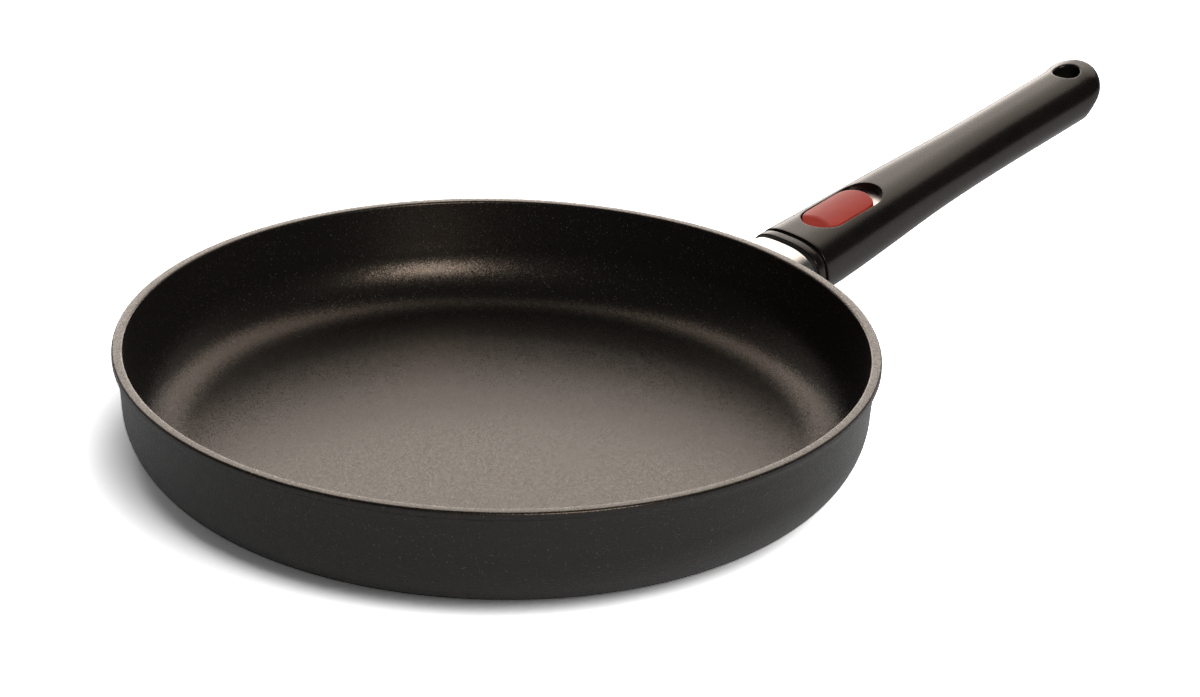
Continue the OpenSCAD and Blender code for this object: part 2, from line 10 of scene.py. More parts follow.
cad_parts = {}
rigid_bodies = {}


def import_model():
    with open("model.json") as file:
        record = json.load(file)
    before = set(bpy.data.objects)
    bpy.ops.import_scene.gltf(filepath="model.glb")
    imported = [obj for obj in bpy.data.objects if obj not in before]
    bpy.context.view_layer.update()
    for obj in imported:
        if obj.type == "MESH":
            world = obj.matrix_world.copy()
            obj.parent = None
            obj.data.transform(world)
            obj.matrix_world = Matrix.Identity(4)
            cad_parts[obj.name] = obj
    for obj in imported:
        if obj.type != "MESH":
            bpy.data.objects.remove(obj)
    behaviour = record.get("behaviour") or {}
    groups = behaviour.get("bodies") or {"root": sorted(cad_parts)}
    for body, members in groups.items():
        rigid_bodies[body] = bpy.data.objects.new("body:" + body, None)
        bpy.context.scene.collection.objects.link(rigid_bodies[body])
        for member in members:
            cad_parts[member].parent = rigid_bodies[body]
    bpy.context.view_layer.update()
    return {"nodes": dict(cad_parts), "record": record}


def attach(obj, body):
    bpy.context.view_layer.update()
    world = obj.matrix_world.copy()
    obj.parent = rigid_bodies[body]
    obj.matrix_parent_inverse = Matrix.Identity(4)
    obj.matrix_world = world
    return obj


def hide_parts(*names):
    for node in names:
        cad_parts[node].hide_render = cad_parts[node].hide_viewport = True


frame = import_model()
nodes = frame["nodes"]
mm = 0.001
print("frame loaded:", len(nodes), "CAD nodes")

# mesh tools

handlePlace = {
    "x": 154.7,      # mm from the pan's centre to the front of the handle
    "z": 34.8,       # mm from the table to the handle's axis there
    "rise": 11.2,    # degrees
}
riseCos = math.cos(math.radians(handlePlace["rise"]))
riseSin = math.sin(math.radians(handlePlace["rise"]))


def fromHandle(points):
    # handle's own frame in mm to the object's frame in m
    p = np.asarray(points, float).reshape(-1, 3)
    x = handlePlace["x"] + p[:, 0] * riseCos - p[:, 2] * riseSin
    z = handlePlace["z"] + p[:, 0] * riseSin + p[:, 2] * riseCos
    return np.stack([x, p[:, 1], z], 1) * mm


def loft(rings, closed=False, capStart=True, capEnd=True):
    # quads between rings of equal length, with the last ring joined to the first when closed
    n = len(rings[0])
    faces = []
    count = len(rings)
    for k in range(count if closed else count - 1):
        a, b = k * n, ((k + 1) % count) * n
        for i in range(n):
            j = (i + 1) % n
            faces.append((a + i, b + i, b + j, a + j))
    if not closed and capStart:
        faces.append(tuple(range(n)))
    if not closed and capEnd:
        faces.append(tuple(range((count - 1) * n, count * n)))
    return np.concatenate(rings), faces


def joinParts(parts):
    # several (points, faces) lists as one
    points, faces, start = [], [], 0
    for p, f in parts:
        points.append(np.asarray(p, float))
        faces += [tuple(start + i for i in face) for face in f]
        start += len(p)
    return np.concatenate(points), faces


weldGap = 0.000002        # m between points that become one
thinnest = 0.0000001      # m, the shortest edge that stays


def addPiece(name, points, faces, body, materials, bands=None, sharpAngle=32):
    # points in m; bands gives a material number for each face
    mesh = bpy.data.meshes.new(name)
    mesh.from_pydata([tuple(p) for p in points], [], faces)
    if bands is not None:
        mesh.polygons.foreach_set("material_index", bands)
    work = bmesh.new()
    work.from_mesh(mesh)
    bmesh.ops.remove_doubles(work, verts=work.verts, dist=weldGap)
    bmesh.ops.dissolve_degenerate(work, dist=thinnest, edges=work.edges)
    bmesh.ops.recalc_face_normals(work, faces=work.faces)
    work.to_mesh(mesh)
    work.free()
    for material in materials:
        mesh.materials.append(material)
    mesh.shade_smooth()
    mesh.set_sharp_from_angle(angle=math.radians(sharpAngle))
    piece = bpy.data.objects.new(name, mesh)
    bpy.context.scene.collection.objects.link(piece)
    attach(piece, body)
    print("piece", name, len(mesh.polygons), "faces")
    return piece


def arcPoints(cx, cz, r, start, end, steps):
    angles = np.radians(np.linspace(start, end, steps + 1))
    return [(cx + r * math.cos(a), cz + r * math.sin(a)) for a in angles]


def linePoints(a, b, steps):
    return [(a[0] + (b[0] - a[0]) * k / steps, a[1] + (b[1] - a[1]) * k / steps)
            for k in range(steps + 1)]


# material tools


def hexColour(code):
    # sRGB hex to linear
    parts = [int(code[i:i + 2], 16) / 255 for i in (0, 2, 4)]
    linear = [c / 12.92 if c <= 0.04045 else ((c + 0.055) / 1.055) ** 2.4 for c in parts]
    return (*linear, 1.0)


def addNode(tree, kind, settings=None, links=None):
    node = tree.nodes.new("ShaderNode" + kind)
    for key, value in (settings or {}).items():
        if key == "stops":
            band = node.color_ramp
            while len(band.elements) < len(value):
                band.elements.new(0.5)
            for element, (at, colour) in zip(band.elements, value):
                element.position = at
                element.color = colour if isinstance(colour, tuple) else (colour, colour, colour, 1)
        elif isinstance(key, int) or key in node.inputs:
            node.inputs[key].default_value = value
        else:
            setattr(node, key, value)
    for key, source in (links or {}).items():
        tree.links.new(source, node.inputs[key])
    return node.outputs


def newMaterial(name, sockets):
    material = bpy.data.materials.new(name)
    material.use_nodes = True
    tree = material.node_tree
    shader = tree.nodes["Principled BSDF"].inputs
    for key, value in sockets.items():
        shader[key].default_value = value
    place = addNode(tree, "TexCoord")["Object"]
    return material, tree, shader, place


def patternScale(sizeMm):
    # texture scale that gives a pattern of this size on an object measured in metres
    return 1000 / sizeMm


# materials

coatLook = {
    "ground": "11100f",       # brown-black binder
    "fleck": "a0968c",        # mica flecks
    "fleckMm": 0.3,           # the largest of the real 0.1 to 0.3 mm, so that they show
    "fleckHaze": 0.016,       # how much metal the many small flecks add to a grain
    "fleckShare": 0.012,      # share of grains with a bright fleck
    "fleckMetal": 0.35,
    "flakeTilt": 0.14,        # how far the flakes under the surface lean either way
    "roughness": 0.29,
    "roughnessSpread": 0.07,
    "glossTint": "ffe4cb",
    "ior": 1.43,
}


def makeInnerCoat():
    # sprayed PTFE non-stick with mica flecks: satin and warm, with a fine sparkle
    material, tree, shader, place = newMaterial("sprayedNonStickCoat", {
        "IOR": coatLook["ior"], "Specular Tint": hexColour(coatLook["glossTint"])})
    cells = addNode(tree, "TexVoronoi", {"Scale": patternScale(coatLook["fleckMm"])}, {"Vector": place})
    chance = addNode(tree, "SeparateColor", None, {"Color": cells["Color"]})
    fleckShare = coatLook["fleckShare"]
    share = addNode(tree, "ValToRGB", {"stops": [
        (0.0, 0.0), (1 - fleckShare, coatLook["fleckHaze"]),
        (1 - fleckShare / 2, coatLook["fleckMetal"])]}, {"Fac": chance["Red"]})["Color"]
    colour = addNode(tree, "Mix", {"data_type": "RGBA", 6: hexColour(coatLook["ground"]),
                                   7: hexColour(coatLook["fleck"])}, {0: share})
    tree.links.new(colour[2], shader["Base Color"])
    tree.links.new(share, shader["Metallic"])
    spread = coatLook["roughnessSpread"]
    rough = addNode(tree, "MapRange", {"To Min": coatLook["roughness"] + spread,
                                       "To Max": coatLook["roughness"] - spread},
                    {"Value": chance["Green"]})
    tree.links.new(rough["Result"], shader["Roughness"])
    lean = addNode(tree, "VectorMath", {"operation": "SUBTRACT", 1: (0.5, 0.5, 0.5)}, {0: cells["Color"]})
    lean = addNode(tree, "VectorMath", {"operation": "SCALE", "Scale": coatLook["flakeTilt"]},
                   {0: lean["Vector"]})
    turned = addNode(tree, "VectorMath", {"operation": "ADD"},
                     {0: addNode(tree, "NewGeometry")["Normal"], 1: lean["Vector"]})
    normal = addNode(tree, "VectorMath", {"operation": "NORMALIZE"}, {0: turned["Vector"]})
    tree.links.new(normal["Vector"], shader["Normal"])
    return material


outerLook = {
    "ground": "100d0a",
    "fleck": "4a4641",
    "fleckMm": 0.35,          # coarser than the real 0.1 to 0.2 mm, so that it shows
    "fleckHaze": 0.09,        # how much of the fleck's colour the grains in between have at most
    "fleckShare": 0.02,
    "roughness": 0.45,
    "roughnessSpread": 0.08,
    "ior": 1.35,
    "grainMm": 0.7,           # orange peel of the sprayed lacquer
    "grainDepth": 0.0002,     # m
}


def makeOuterCoat():
    # sprayed and baked heat-resistant lacquer: matte black with a few small sparkles
    material, tree, shader, place = newMaterial("bakedBlackLacquer", {"IOR": outerLook["ior"]})
    cells = addNode(tree, "TexVoronoi", {"Scale": patternScale(outerLook["fleckMm"])}, {"Vector": place})
    chance = addNode(tree, "SeparateColor", None, {"Color": cells["Color"]})
    share = addNode(tree, "ValToRGB", {"stops": [
        (0.0, 0.0), (1 - outerLook["fleckShare"], outerLook["fleckHaze"]), (1.0, 1.0)]},
        {"Fac": chance["Green"]})["Color"]
    colour = addNode(tree, "Mix", {"data_type": "RGBA", 6: hexColour(outerLook["ground"]),
                                   7: hexColour(outerLook["fleck"])}, {0: share})
    tree.links.new(colour[2], shader["Base Color"])
    spread = outerLook["roughnessSpread"]
    rough = addNode(tree, "MapRange", {"To Min": outerLook["roughness"] + spread,
                                       "To Max": outerLook["roughness"] - spread},
                    {"Value": chance["Red"]})
    tree.links.new(rough["Result"], shader["Roughness"])
    grain = addNode(tree, "TexNoise", {"Scale": patternScale(outerLook["grainMm"]), "Detail": 2.0},
                    {"Vector": place})
    bump = addNode(tree, "Bump", {"Strength": 1.0, "Distance": outerLook["grainDepth"]},
                   {"Height": grain["Fac"]})
    tree.links.new(bump["Normal"], shader["Normal"])
    return material


baseLook = {
    "light": "c4c1bc",
    "dark": "8f8c88",
    "ringMm": 1.2,            # coarser than a lathe's real 0.2 to 0.4 mm, so that the rings show
    "ringStrength": 0.4,
    "ringDepth": 0.00015,     # m
    "smoothest": 0.28,
    "roughest": 0.42,
}


def makeTurnedBase():
    # cast aluminium faced on a lathe: fine rings that stretch the highlights
    material, tree, shader, place = newMaterial("turnedAluminium", {"Metallic": 1.0})
    apart = addNode(tree, "SeparateXYZ", None, {"Vector": place})
    flat = addNode(tree, "CombineXYZ", None, {"X": apart["X"], "Y": apart["Y"]})
    radius = addNode(tree, "VectorMath", {"operation": "LENGTH"}, {0: flat["Vector"]})
    rings = addNode(tree, "TexNoise", {"noise_dimensions": "1D", "Detail": 4.0,
                                       "Scale": patternScale(baseLook["ringMm"])}, {"W": radius["Value"]})
    colour = addNode(tree, "ValToRGB", {"stops": [(0.3, hexColour(baseLook["dark"])),
                                                  (0.7, hexColour(baseLook["light"]))]},
                     {"Fac": rings["Fac"]})
    tree.links.new(colour["Color"], shader["Base Color"])
    rough = addNode(tree, "MapRange", {"To Min": baseLook["smoothest"], "To Max": baseLook["roughest"]},
                    {"Value": rings["Fac"]})
    tree.links.new(rough["Result"], shader["Roughness"])
    bump = addNode(tree, "Bump", {"Strength": baseLook["ringStrength"],
                                  "Distance": baseLook["ringDepth"]}, {"Height": rings["Fac"]})
    tree.links.new(bump["Normal"], shader["Normal"])
    return material


metalLook = {
    "smoother": 0.05,         # how far the roughness goes below and above its middle
    "rougher": 0.07,
    "grainStrength": 0.12,
    "grainDepth": 0.00005,    # m
}


def makeMetal(name, light, dark, roughness, grainMm, stretch=(1, 1, 1)):
    # drawn, stamped or turned metal: grain lines with a little colour and gloss variation
    material, tree, shader, place = newMaterial(name, {"Metallic": 1.0})
    lines = addNode(tree, "Mapping", {"Scale": stretch}, {"Vector": place})
    grain = addNode(tree, "TexNoise", {"Scale": patternScale(grainMm), "Detail": 3.0},
                    {"Vector": lines["Vector"]})
    colour = addNode(tree, "ValToRGB", {"stops": [(0.35, hexColour(dark)), (0.65, hexColour(light))]},
                     {"Fac": grain["Fac"]})
    tree.links.new(colour["Color"], shader["Base Color"])
    rough = addNode(tree, "MapRange", {"To Min": roughness - metalLook["smoother"],
                                       "To Max": roughness + metalLook["rougher"]},
                    {"Value": grain["Fac"]})
    tree.links.new(rough["Result"], shader["Roughness"])
    bump = addNode(tree, "Bump", {"Strength": metalLook["grainStrength"],
                                  "Distance": metalLook["grainDepth"]}, {"Height": grain["Fac"]})
    tree.links.new(bump["Normal"], shader["Normal"])
    return material


mouldedLook = {
    "ior": 1.5,
    "mottleMm": 9,            # flow marks
    "smoother": 0.04,         # how far the roughness goes below and above its middle
    "rougher": 0.05,
    "grainStrength": 0.15,
    "grainDepth": 0.00006,    # m
}


def makeMoulded(name, light, dark, roughness, grainMm=0.5, level=0.5, tint="ffffff"):
    # moulded plastic: the fine spark-eroded grain of the mould, and a slight mottle
    material, tree, shader, place = newMaterial(name, {
        "IOR": mouldedLook["ior"], "Specular IOR Level": level, "Specular Tint": hexColour(tint)})
    mottle = addNode(tree, "TexNoise", {"Scale": patternScale(mouldedLook["mottleMm"]), "Detail": 2.0},
                     {"Vector": place})
    colour = addNode(tree, "ValToRGB", {"stops": [(0.35, hexColour(dark)), (0.65, hexColour(light))]},
                     {"Fac": mottle["Fac"]})
    tree.links.new(colour["Color"], shader["Base Color"])
    grain = addNode(tree, "TexNoise", {"Scale": patternScale(grainMm), "Detail": 2.0}, {"Vector": place})
    rough = addNode(tree, "MapRange", {"To Min": roughness - mouldedLook["smoother"],
                                       "To Max": roughness + mouldedLook["rougher"]},
                    {"Value": grain["Fac"]})
    tree.links.new(rough["Result"], shader["Roughness"])
    bump = addNode(tree, "Bump", {"Strength": mouldedLook["grainStrength"],
                                  "Distance": mouldedLook["grainDepth"]}, {"Height": grain["Fac"]})
    tree.links.new(bump["Normal"], shader["Normal"])
    return material


innerCoat = makeInnerCoat()
outerCoat = makeOuterCoat()
turnedBase = makeTurnedBase()
# light and dark colour, roughness, size of the grain in mm, and how it is scaled along x, y and z;
# the grain lines are coarser than the real 0.05 to 0.2 mm, so that they show
# bright and warm, with faint streaks along the sleeve
ferruleSteel = makeMetal("polishedStainlessSleeve", "d6d0ca", "cfc8c2", 0.28, 0.6, (0.15, 1, 1))
# bright, with the streaks of rolled sheet
plateSteel = makeMetal("stampedStainlessPlate", "cfc6c2", "bcb2ae", 0.34, 0.5, (0.2, 1, 1))
# mid grey with a soft gloss
plainSteel = makeMetal("zincPlatedSteel", "a8a7a4", "8e8c88", 0.32, 0.8)
# darker and bluer, drawn smooth
springSteel = makeMetal("drawnSpringSteel", "8f9094", "707176", 0.28, 0.5)
# dull grey with a coarse mottle
zincCasting = makeMetal("dieCastZinc", "a09f9a", "83827e", 0.48, 1.5)
# yellow and fairly bright
turnedBrass = makeMetal("turnedBrass", "d0a95c", "b08a42", 0.3, 0.5)
# light and dark colour, roughness, size of the grain in mm, gloss level and the gloss's tint;
# the grain is coarser than a mould's real 0.1 mm, so that it shows
# nearly black, satin, with warm highlights
phenolic = makeMoulded("mouldedPhenolic", "14110f", "100e0c", 0.27, 0.5, 0.3, "fff0e6")
# plain black, duller than the grip
capPlastic = makeMoulded("mouldedBlackNylon", "0e0e0e", "080808", 0.5)
# the dullest black: a silicone seal, whose black is also painted shade for the dark gap at the handle's
# front
sealAndGapShade = makeMoulded("siliconeSealAndGapShade", "0a0a0a", "050505", 0.6)
# deep red with a soft sheen
redPlastic = makeMoulded("mouldedRedNylon", "aa2815", "a02412", 0.32, 0.6, 0.12)
print("materials made")

slotMaterials = {
    "coated_cast_aluminium": outerCoat,
    "bright_steel": plateSteel,
    "steel": plainSteel,
    "handle_phenolic": phenolic,
    "black_plastic": capPlastic,
    # the seal's black is partly painted shade for the gap at the handle's front
    "seal_silicone": sealAndGapShade,
    "brass": turnedBrass,
    "die_cast_zinc": zincCasting,
    "spring_steel": springSteel,
    "red_plastic": redPlastic,
}
# each CAD node gets the material of its slot
for part in frame["record"]["subparts"]:
    data = nodes[part["node"]].data
    data.materials.clear()
    data.materials.append(slotMaterials[part["material_slot"]])

# pan

pan = {      # mm
    "sides": 360,
    "rim": 144.95, "height": 45.6, "lip": 2.5, "lipRound": 1.0, "lipSlope": 1.5,
    "lipSideRows": 5,        # rows of the lip, counted from below, that have the outer coat
    "lipTurn": ((-0.35, -0.25), (-0.1, 0.0), (0.0, 0.3)),      # the lip's low corner, softened
    "slopeTurn": ((-0.03, -0.3), (0.1, 0.05)),                 # where the wall turns out to the lip
    "wallTop": 142.9, "wallLow": 141.7, "corner": 25.9,
    "innerTop": 140.7, "innerLow": 139.0, "innerCorner": 22.0, "floor": 5.5,
    "turned": 108.0, "turnedDepth": 0.4, "turnedEdge": 0.6,
    "turnedRows": 24, "baseRows": 3, "cornerRows": 32, "wallRows": 8, "lipRows": 8, "floorRows": 26,
    "sharpAngle": 40,        # degrees
}


def panProfile():
    # (radius, height, material number) from the middle of the base, up the outside, and back inside
    base = pan["wallLow"] - pan["corner"]
    lipLow = pan["height"] - pan["lip"]
    slopeLow = lipLow - pan["lipSlope"]
    soft = pan["lipRound"]
    under = linePoints((0, pan["turnedDepth"]), (pan["turned"], pan["turnedDepth"]), pan["turnedRows"])
    under += [(pan["turned"] + pan["turnedEdge"], 0.0)]
    outside = linePoints((pan["turned"] + pan["turnedEdge"], 0.0), (base, 0.0), pan["baseRows"])[1:]
    outside += arcPoints(base, pan["corner"], pan["corner"], -90, 0, pan["cornerRows"])[1:]
    wallEnd, slopeStart = [(pan["wallTop"] + r, slopeLow + z) for r, z in pan["slopeTurn"]]
    outside += linePoints((pan["wallLow"], pan["corner"]), wallEnd, pan["wallRows"])[1:]
    outside += [slopeStart]
    lip = [(pan["rim"] + r, lipLow + z) for r, z in pan["lipTurn"]]
    lip += arcPoints(pan["rim"] - soft, pan["height"] - soft, soft, 0, 90, pan["lipRows"])
    inner = arcPoints(pan["innerTop"] + soft, pan["height"] - soft, soft, 90, 180, pan["lipRows"])
    inner += linePoints((pan["innerTop"], pan["height"] - soft),
                        (pan["innerLow"], pan["floor"] + pan["innerCorner"]), pan["wallRows"])[1:]
    start = pan["innerLow"] - pan["innerCorner"]
    inner += arcPoints(start, pan["floor"] + pan["innerCorner"], pan["innerCorner"], 0, -90,
                       pan["cornerRows"])[1:]
    inner += linePoints((start, pan["floor"]), (0, pan["floor"]), pan["floorRows"])[1:]
    rows = [(r, z, 2) for r, z in under] + [(r, z, 1) for r, z in outside]
    side = pan["lipSideRows"]
    return rows + [(r, z, 1) for r, z in lip[:side]] + [(r, z, 0) for r, z in lip[side:] + inner]


def makePan():
    rows = panProfile()
    turn = np.linspace(0, 2 * math.pi, pan["sides"], endpoint=False)
    rings = [np.stack([r * np.cos(turn), r * np.sin(turn), np.full_like(turn, z)], 1) * mm
             for r, z, _ in rows]
    points, faces = loft(rings, capStart=False, capEnd=False)
    bands = [rows[k + 1][2] for k in range(len(rows) - 1) for _ in range(pan["sides"])]
    piece = addPiece("panBody", points, faces, "pan",
                     [innerCoat, outerCoat, turnedBase], bands, pan["sharpAngle"])
    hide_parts("pan_body")


makePan()


def panWallRadius(z):
    # radius of the outside of the pan's wall at a height in mm
    base = pan["wallLow"] - pan["corner"]
    lipLow = pan["height"] - pan["lip"]
    if z < pan["corner"]:
        return base + math.sqrt(max(0, pan["corner"] ** 2 - (pan["corner"] - z) ** 2))
    foot = lipLow - pan["lipSlope"]
    if z < foot:
        widening = pan["wallTop"] - pan["wallLow"]
        return pan["wallLow"] + widening * (z - pan["corner"]) / (foot - pan["corner"])
    if z < lipLow:
        return pan["wallTop"] + (pan["rim"] - pan["wallTop"]) * (z - foot) / pan["lipSlope"]
    return pan["rim"]


# handle outline, shared by the shell, the collar and the ferrule

outline = {      # mm, along the handle's axis from its front
    "frontWidth": 37.8, "gripWidth": 28.5, "top": 12.27, "frontDrop": 13.2, "gripDrop": 10.0,
    "start": 6.3, "taperEnd": 130.0, "taperPower": 1.4, "bellyStart": 14.0, "bellyEnd": 86.0,
    "squareness": 2.7, "gripSquareness": 2.3, "rounderFrom": 50.0, "rounderTo": 110.0,
    "length": 186.95, "tipRound": 8.0, "tipCut": 14.4, "cutPower": 1.4,
    "noseDrop": 0.5, "noseLength": 1.6, "flat": 0.06,
}


def roundOff(t, power):
    # 1 up to t = 0, then round down to 0 at t = 1
    return (1 - np.clip(t, 0, 1) ** power) ** (1 / power)


def halfWidth(x):
    run = np.clip(1 - (x - outline["start"]) / (outline["taperEnd"] - outline["start"]), 0, None)
    flare = (outline["frontWidth"] - outline["gripWidth"]) / 2
    plain = outline["gripWidth"] / 2 + flare * run ** outline["taperPower"]
    past = x - outline["length"] + outline["tipRound"]
    return plain * roundOff(past / outline["tipRound"], 2)


def topAt(x):
    nose = outline["top"] - outline["noseDrop"]
    past = x - outline["length"] + outline["noseLength"]
    return nose + outline["noseDrop"] * roundOff(past / outline["noseLength"], 2)


def bottomAt(x):
    u = np.clip((x - outline["bellyStart"]) / (outline["bellyEnd"] - outline["bellyStart"]), 0, 1)
    plain = -outline["frontDrop"] + (outline["frontDrop"] - outline["gripDrop"]) * u * u * (3 - 2 * u)
    nose = outline["top"] - outline["noseDrop"]
    past = x - outline["length"] + outline["tipCut"]
    return nose - (nose - plain) * roundOff(past / outline["tipCut"], outline["cutPower"])


def squarenessAt(x):
    # the section is a soft square at the front and nearly an ellipse along the grip
    u = np.clip((x - outline["rounderFrom"]) / (outline["rounderTo"] - outline["rounderFrom"]), 0, 1)
    change = outline["gripSquareness"] - outline["squareness"]
    return outline["squareness"] + change * u * u * (3 - 2 * u)


def sectionPoint(x, t, inset=0.0):
    # point of the handle's skin at x, at turn t in radians: 0 is the +Y side and a quarter turn the top
    x, t = np.broadcast_arrays(np.asarray(x, float), np.asarray(t, float))
    power = 2 / squarenessAt(x)
    half = halfWidth(x) - inset
    high, low = topAt(x) - inset, bottomAt(x) + inset
    across = half * np.sign(np.cos(t)) * np.abs(np.cos(t)) ** power
    up = (high + low) / 2 + (high - low) / 2 * np.sign(np.sin(t)) * np.abs(np.sin(t)) ** power
    return np.stack([x, across, up], -1)


def turnAt(x, y, under=False):
    # turn of the skin's point at (x, y), on the top or on the underside
    share = np.clip(np.abs(y) / halfWidth(x), 0, 1) ** (squarenessAt(x) / 2)
    t = np.arccos(np.sign(y) * share)
    return 2 * math.pi - t if under else t


# turns that are evenly spaced along the skin of the grip
referenceX = 60.0       # mm
fineCount = 4001        # points that measure its length
fineTurns = np.linspace(0, 2 * math.pi, fineCount)
fineRing = sectionPoint(np.full(fineCount, referenceX), fineTurns)
fineLength = np.concatenate([[0], np.cumsum(np.linalg.norm(np.diff(fineRing, axis=0), axis=1))])
skinLength = fineLength[-1]


def turnOf(s):
    return np.interp(s, fineLength, fineTurns)


def lengthOf(t):
    return np.interp(t, fineTurns, fineLength)


frontPoints = 144       # round the collar and the ferrule


def frontRing(x, inset):
    # ring at x with the section of the handle's front, set in by inset
    turns = turnOf(np.linspace(0, skinLength, frontPoints, endpoint=False))
    ring = sectionPoint(np.full(frontPoints, 0.0), turns, inset)
    ring[:, 0] = x
    return ring


# shell

shell = {      # mm
    "skinStep": 0.85, "alongStep": 1.2, "tipStart": 168.0, "tipSteps": 34,
    "edge": 0.35, "edgeRows": 4, "mouthInset": 2.4, "mouthEnd": 8.6,
    "slotStart": 15.4, "slotLength": 39.9, "slotWidth": 19.8, "slotEdge": 0.25, "slotFloor": 8.0,
    "slotPoints": 110, "slotRows": 3, "slotClear": 3,
    "holeAt": 175.6, "holeWidth": 11.4, "holeEdge": 0.9,
    "holePoints": 72, "holeRows": 8,
    "holeClear": 0.8, "holeBefore": 1, "holeAfter": 0.6,      # room round the hole for its patch
    "loopStep": 0.55, "sharpAngle": 35,
    "cavity": ((8.0, -11.5, -5.4), (82.7, 11.5, 8.7)),        # lowest and highest corner
}


def stadium(start, end, r, count):
    # closed outline with its outward directions
    half = count // 2
    points, out = [], []
    for centre, first in ((end - r, -90), (start + r, 90)):
        for a in np.radians(np.linspace(first, first + 180, half)):
            points.append((centre + r * math.cos(a), r * math.sin(a)))
            out.append((math.cos(a), math.sin(a)))
    points, out = np.array(points), np.array(out)
    # straight sides get points as close as the arcs
    filled, directions = [], []
    for k in range(len(points)):
        a, b = points[k], points[(k + 1) % len(points)]
        steps = max(1, int(round(np.linalg.norm(b - a) / shell["loopStep"])))
        for j in range(steps):
            filled.append(a + (b - a) * j / steps)
            directions.append(out[k])
    return np.array(filled), np.array(directions)


def edgeRings(points, out, edge, under=False, steps=5):
    # rings that round the skin over into an opening, from the skin to the opening's wall
    wide = points + out * edge
    turn = turnAt(wide[:, 0], wide[:, 1], under)
    skin = sectionPoint(wide[:, 0], turn)
    rings = [skin]
    sign = 1 if under else -1
    for k in range(1, steps + 1):
        a = math.radians(90 * k / steps)
        ring = np.empty_like(skin)
        ring[:, :2] = points + out * edge * (1 - math.sin(a))
        ring[:, 2] = skin[:, 2] + sign * edge * (1 - math.cos(a))
        rings.append(ring)
    return np.stack([wide[:, 0], lengthOf(turn)], 1), rings


flatGap = 1e-7         # mm, points of a patch this close are one
leastRise = 1e-12      # mm, so that nothing is divided by nought


def insideLoop(points, loop):
    # which points are inside a closed outline
    x, y = points[:, 0:1], points[:, 1:2]
    a, b = loop, np.roll(loop, -1, axis=0)
    crosses = (a[:, 1] > y) != (b[:, 1] > y)
    rise = np.where(np.abs(b[:, 1] - a[:, 1]) < leastRise, leastRise, b[:, 1] - a[:, 1])
    at = a[:, 0] + (y - a[:, 1]) * (b[:, 0] - a[:, 0]) / rise
    return (np.sum(crosses & (x < at), axis=1) % 2) == 1


def skinPatch(columns, rows, loops, clear=0.4):
    # triangles over the skin between columns, around the loops, in (x, length round the skin);
    # clear is the room in mm between a loop and the nearest grid point
    grid = np.array([(x, s) for x in columns for s in rows])
    keep = np.ones(len(grid), bool)
    for loop in loops:
        near = np.min(np.linalg.norm(grid[:, None] - loop[None], axis=2), axis=1) < clear
        keep &= ~(insideLoop(grid, loop) | near)
    points = [grid[keep]]
    edges, start = [], int(keep.sum())
    for loop in loops:
        points.append(loop)
        edges += [(start + i, start + (i + 1) % len(loop)) for i in range(len(loop))]
        start += len(loop)
    made = delaunay_2d_cdt([Vector(p) for p in np.concatenate(points)], edges, [], 0, flatGap)
    flat = np.array([tuple(v) for v in made[0]])
    faces = [tuple(f) for f in made[2]]
    centres = np.array([flat[list(f)].mean(axis=0) for f in faces])
    outside = np.ones(len(faces), bool)
    for loop in loops:
        outside &= ~insideLoop(centres, loop)
    faces = [f for f, ok in zip(faces, outside) if ok]
    return sectionPoint(flat[:, 0], turnOf(flat[:, 1])), faces


def skinQuads(columns, rows):
    points = sectionPoint(*np.meshgrid(columns, turnOf(rows), indexing="ij"))
    n = len(rows)
    faces = [(k * n + i, (k + 1) * n + i, (k + 1) * n + i + 1, k * n + i + 1)
             for k in range(len(columns) - 1) for i in range(n - 1)]
    return points.reshape(-1, 3), faces


def boxPart(low, high):
    x, y, z = zip(low, high)
    points = np.array([(x[i], y[j], z[k]) for i in (0, 1) for j in (0, 1) for k in (0, 1)])
    return points, [(0, 1, 3, 2), (4, 6, 7, 5), (0, 4, 5, 1), (2, 3, 7, 6), (0, 2, 6, 4), (1, 5, 7, 3)]


def cutAway(piece, cutterPart):
    # takes the cutter's solid out of the piece
    mesh = bpy.data.meshes.new("cutter")
    mesh.from_pydata([tuple(p) for p in fromHandle(cutterPart[0])], [], cutterPart[1])
    work = bmesh.new()
    work.from_mesh(mesh)
    bmesh.ops.recalc_face_normals(work, faces=work.faces)
    work.to_mesh(mesh)
    work.free()
    cutter = bpy.data.objects.new("cutter", mesh)
    bpy.context.scene.collection.objects.link(cutter)
    cut = piece.modifiers.new("cut", "BOOLEAN")
    cut.operation, cut.solver, cut.object = "DIFFERENCE", "EXACT", cutter
    graph = bpy.context.evaluated_depsgraph_get()
    done = bpy.data.meshes.new_from_object(piece.evaluated_get(graph))
    piece.modifiers.clear()
    piece.data = done
    bpy.data.objects.remove(cutter)


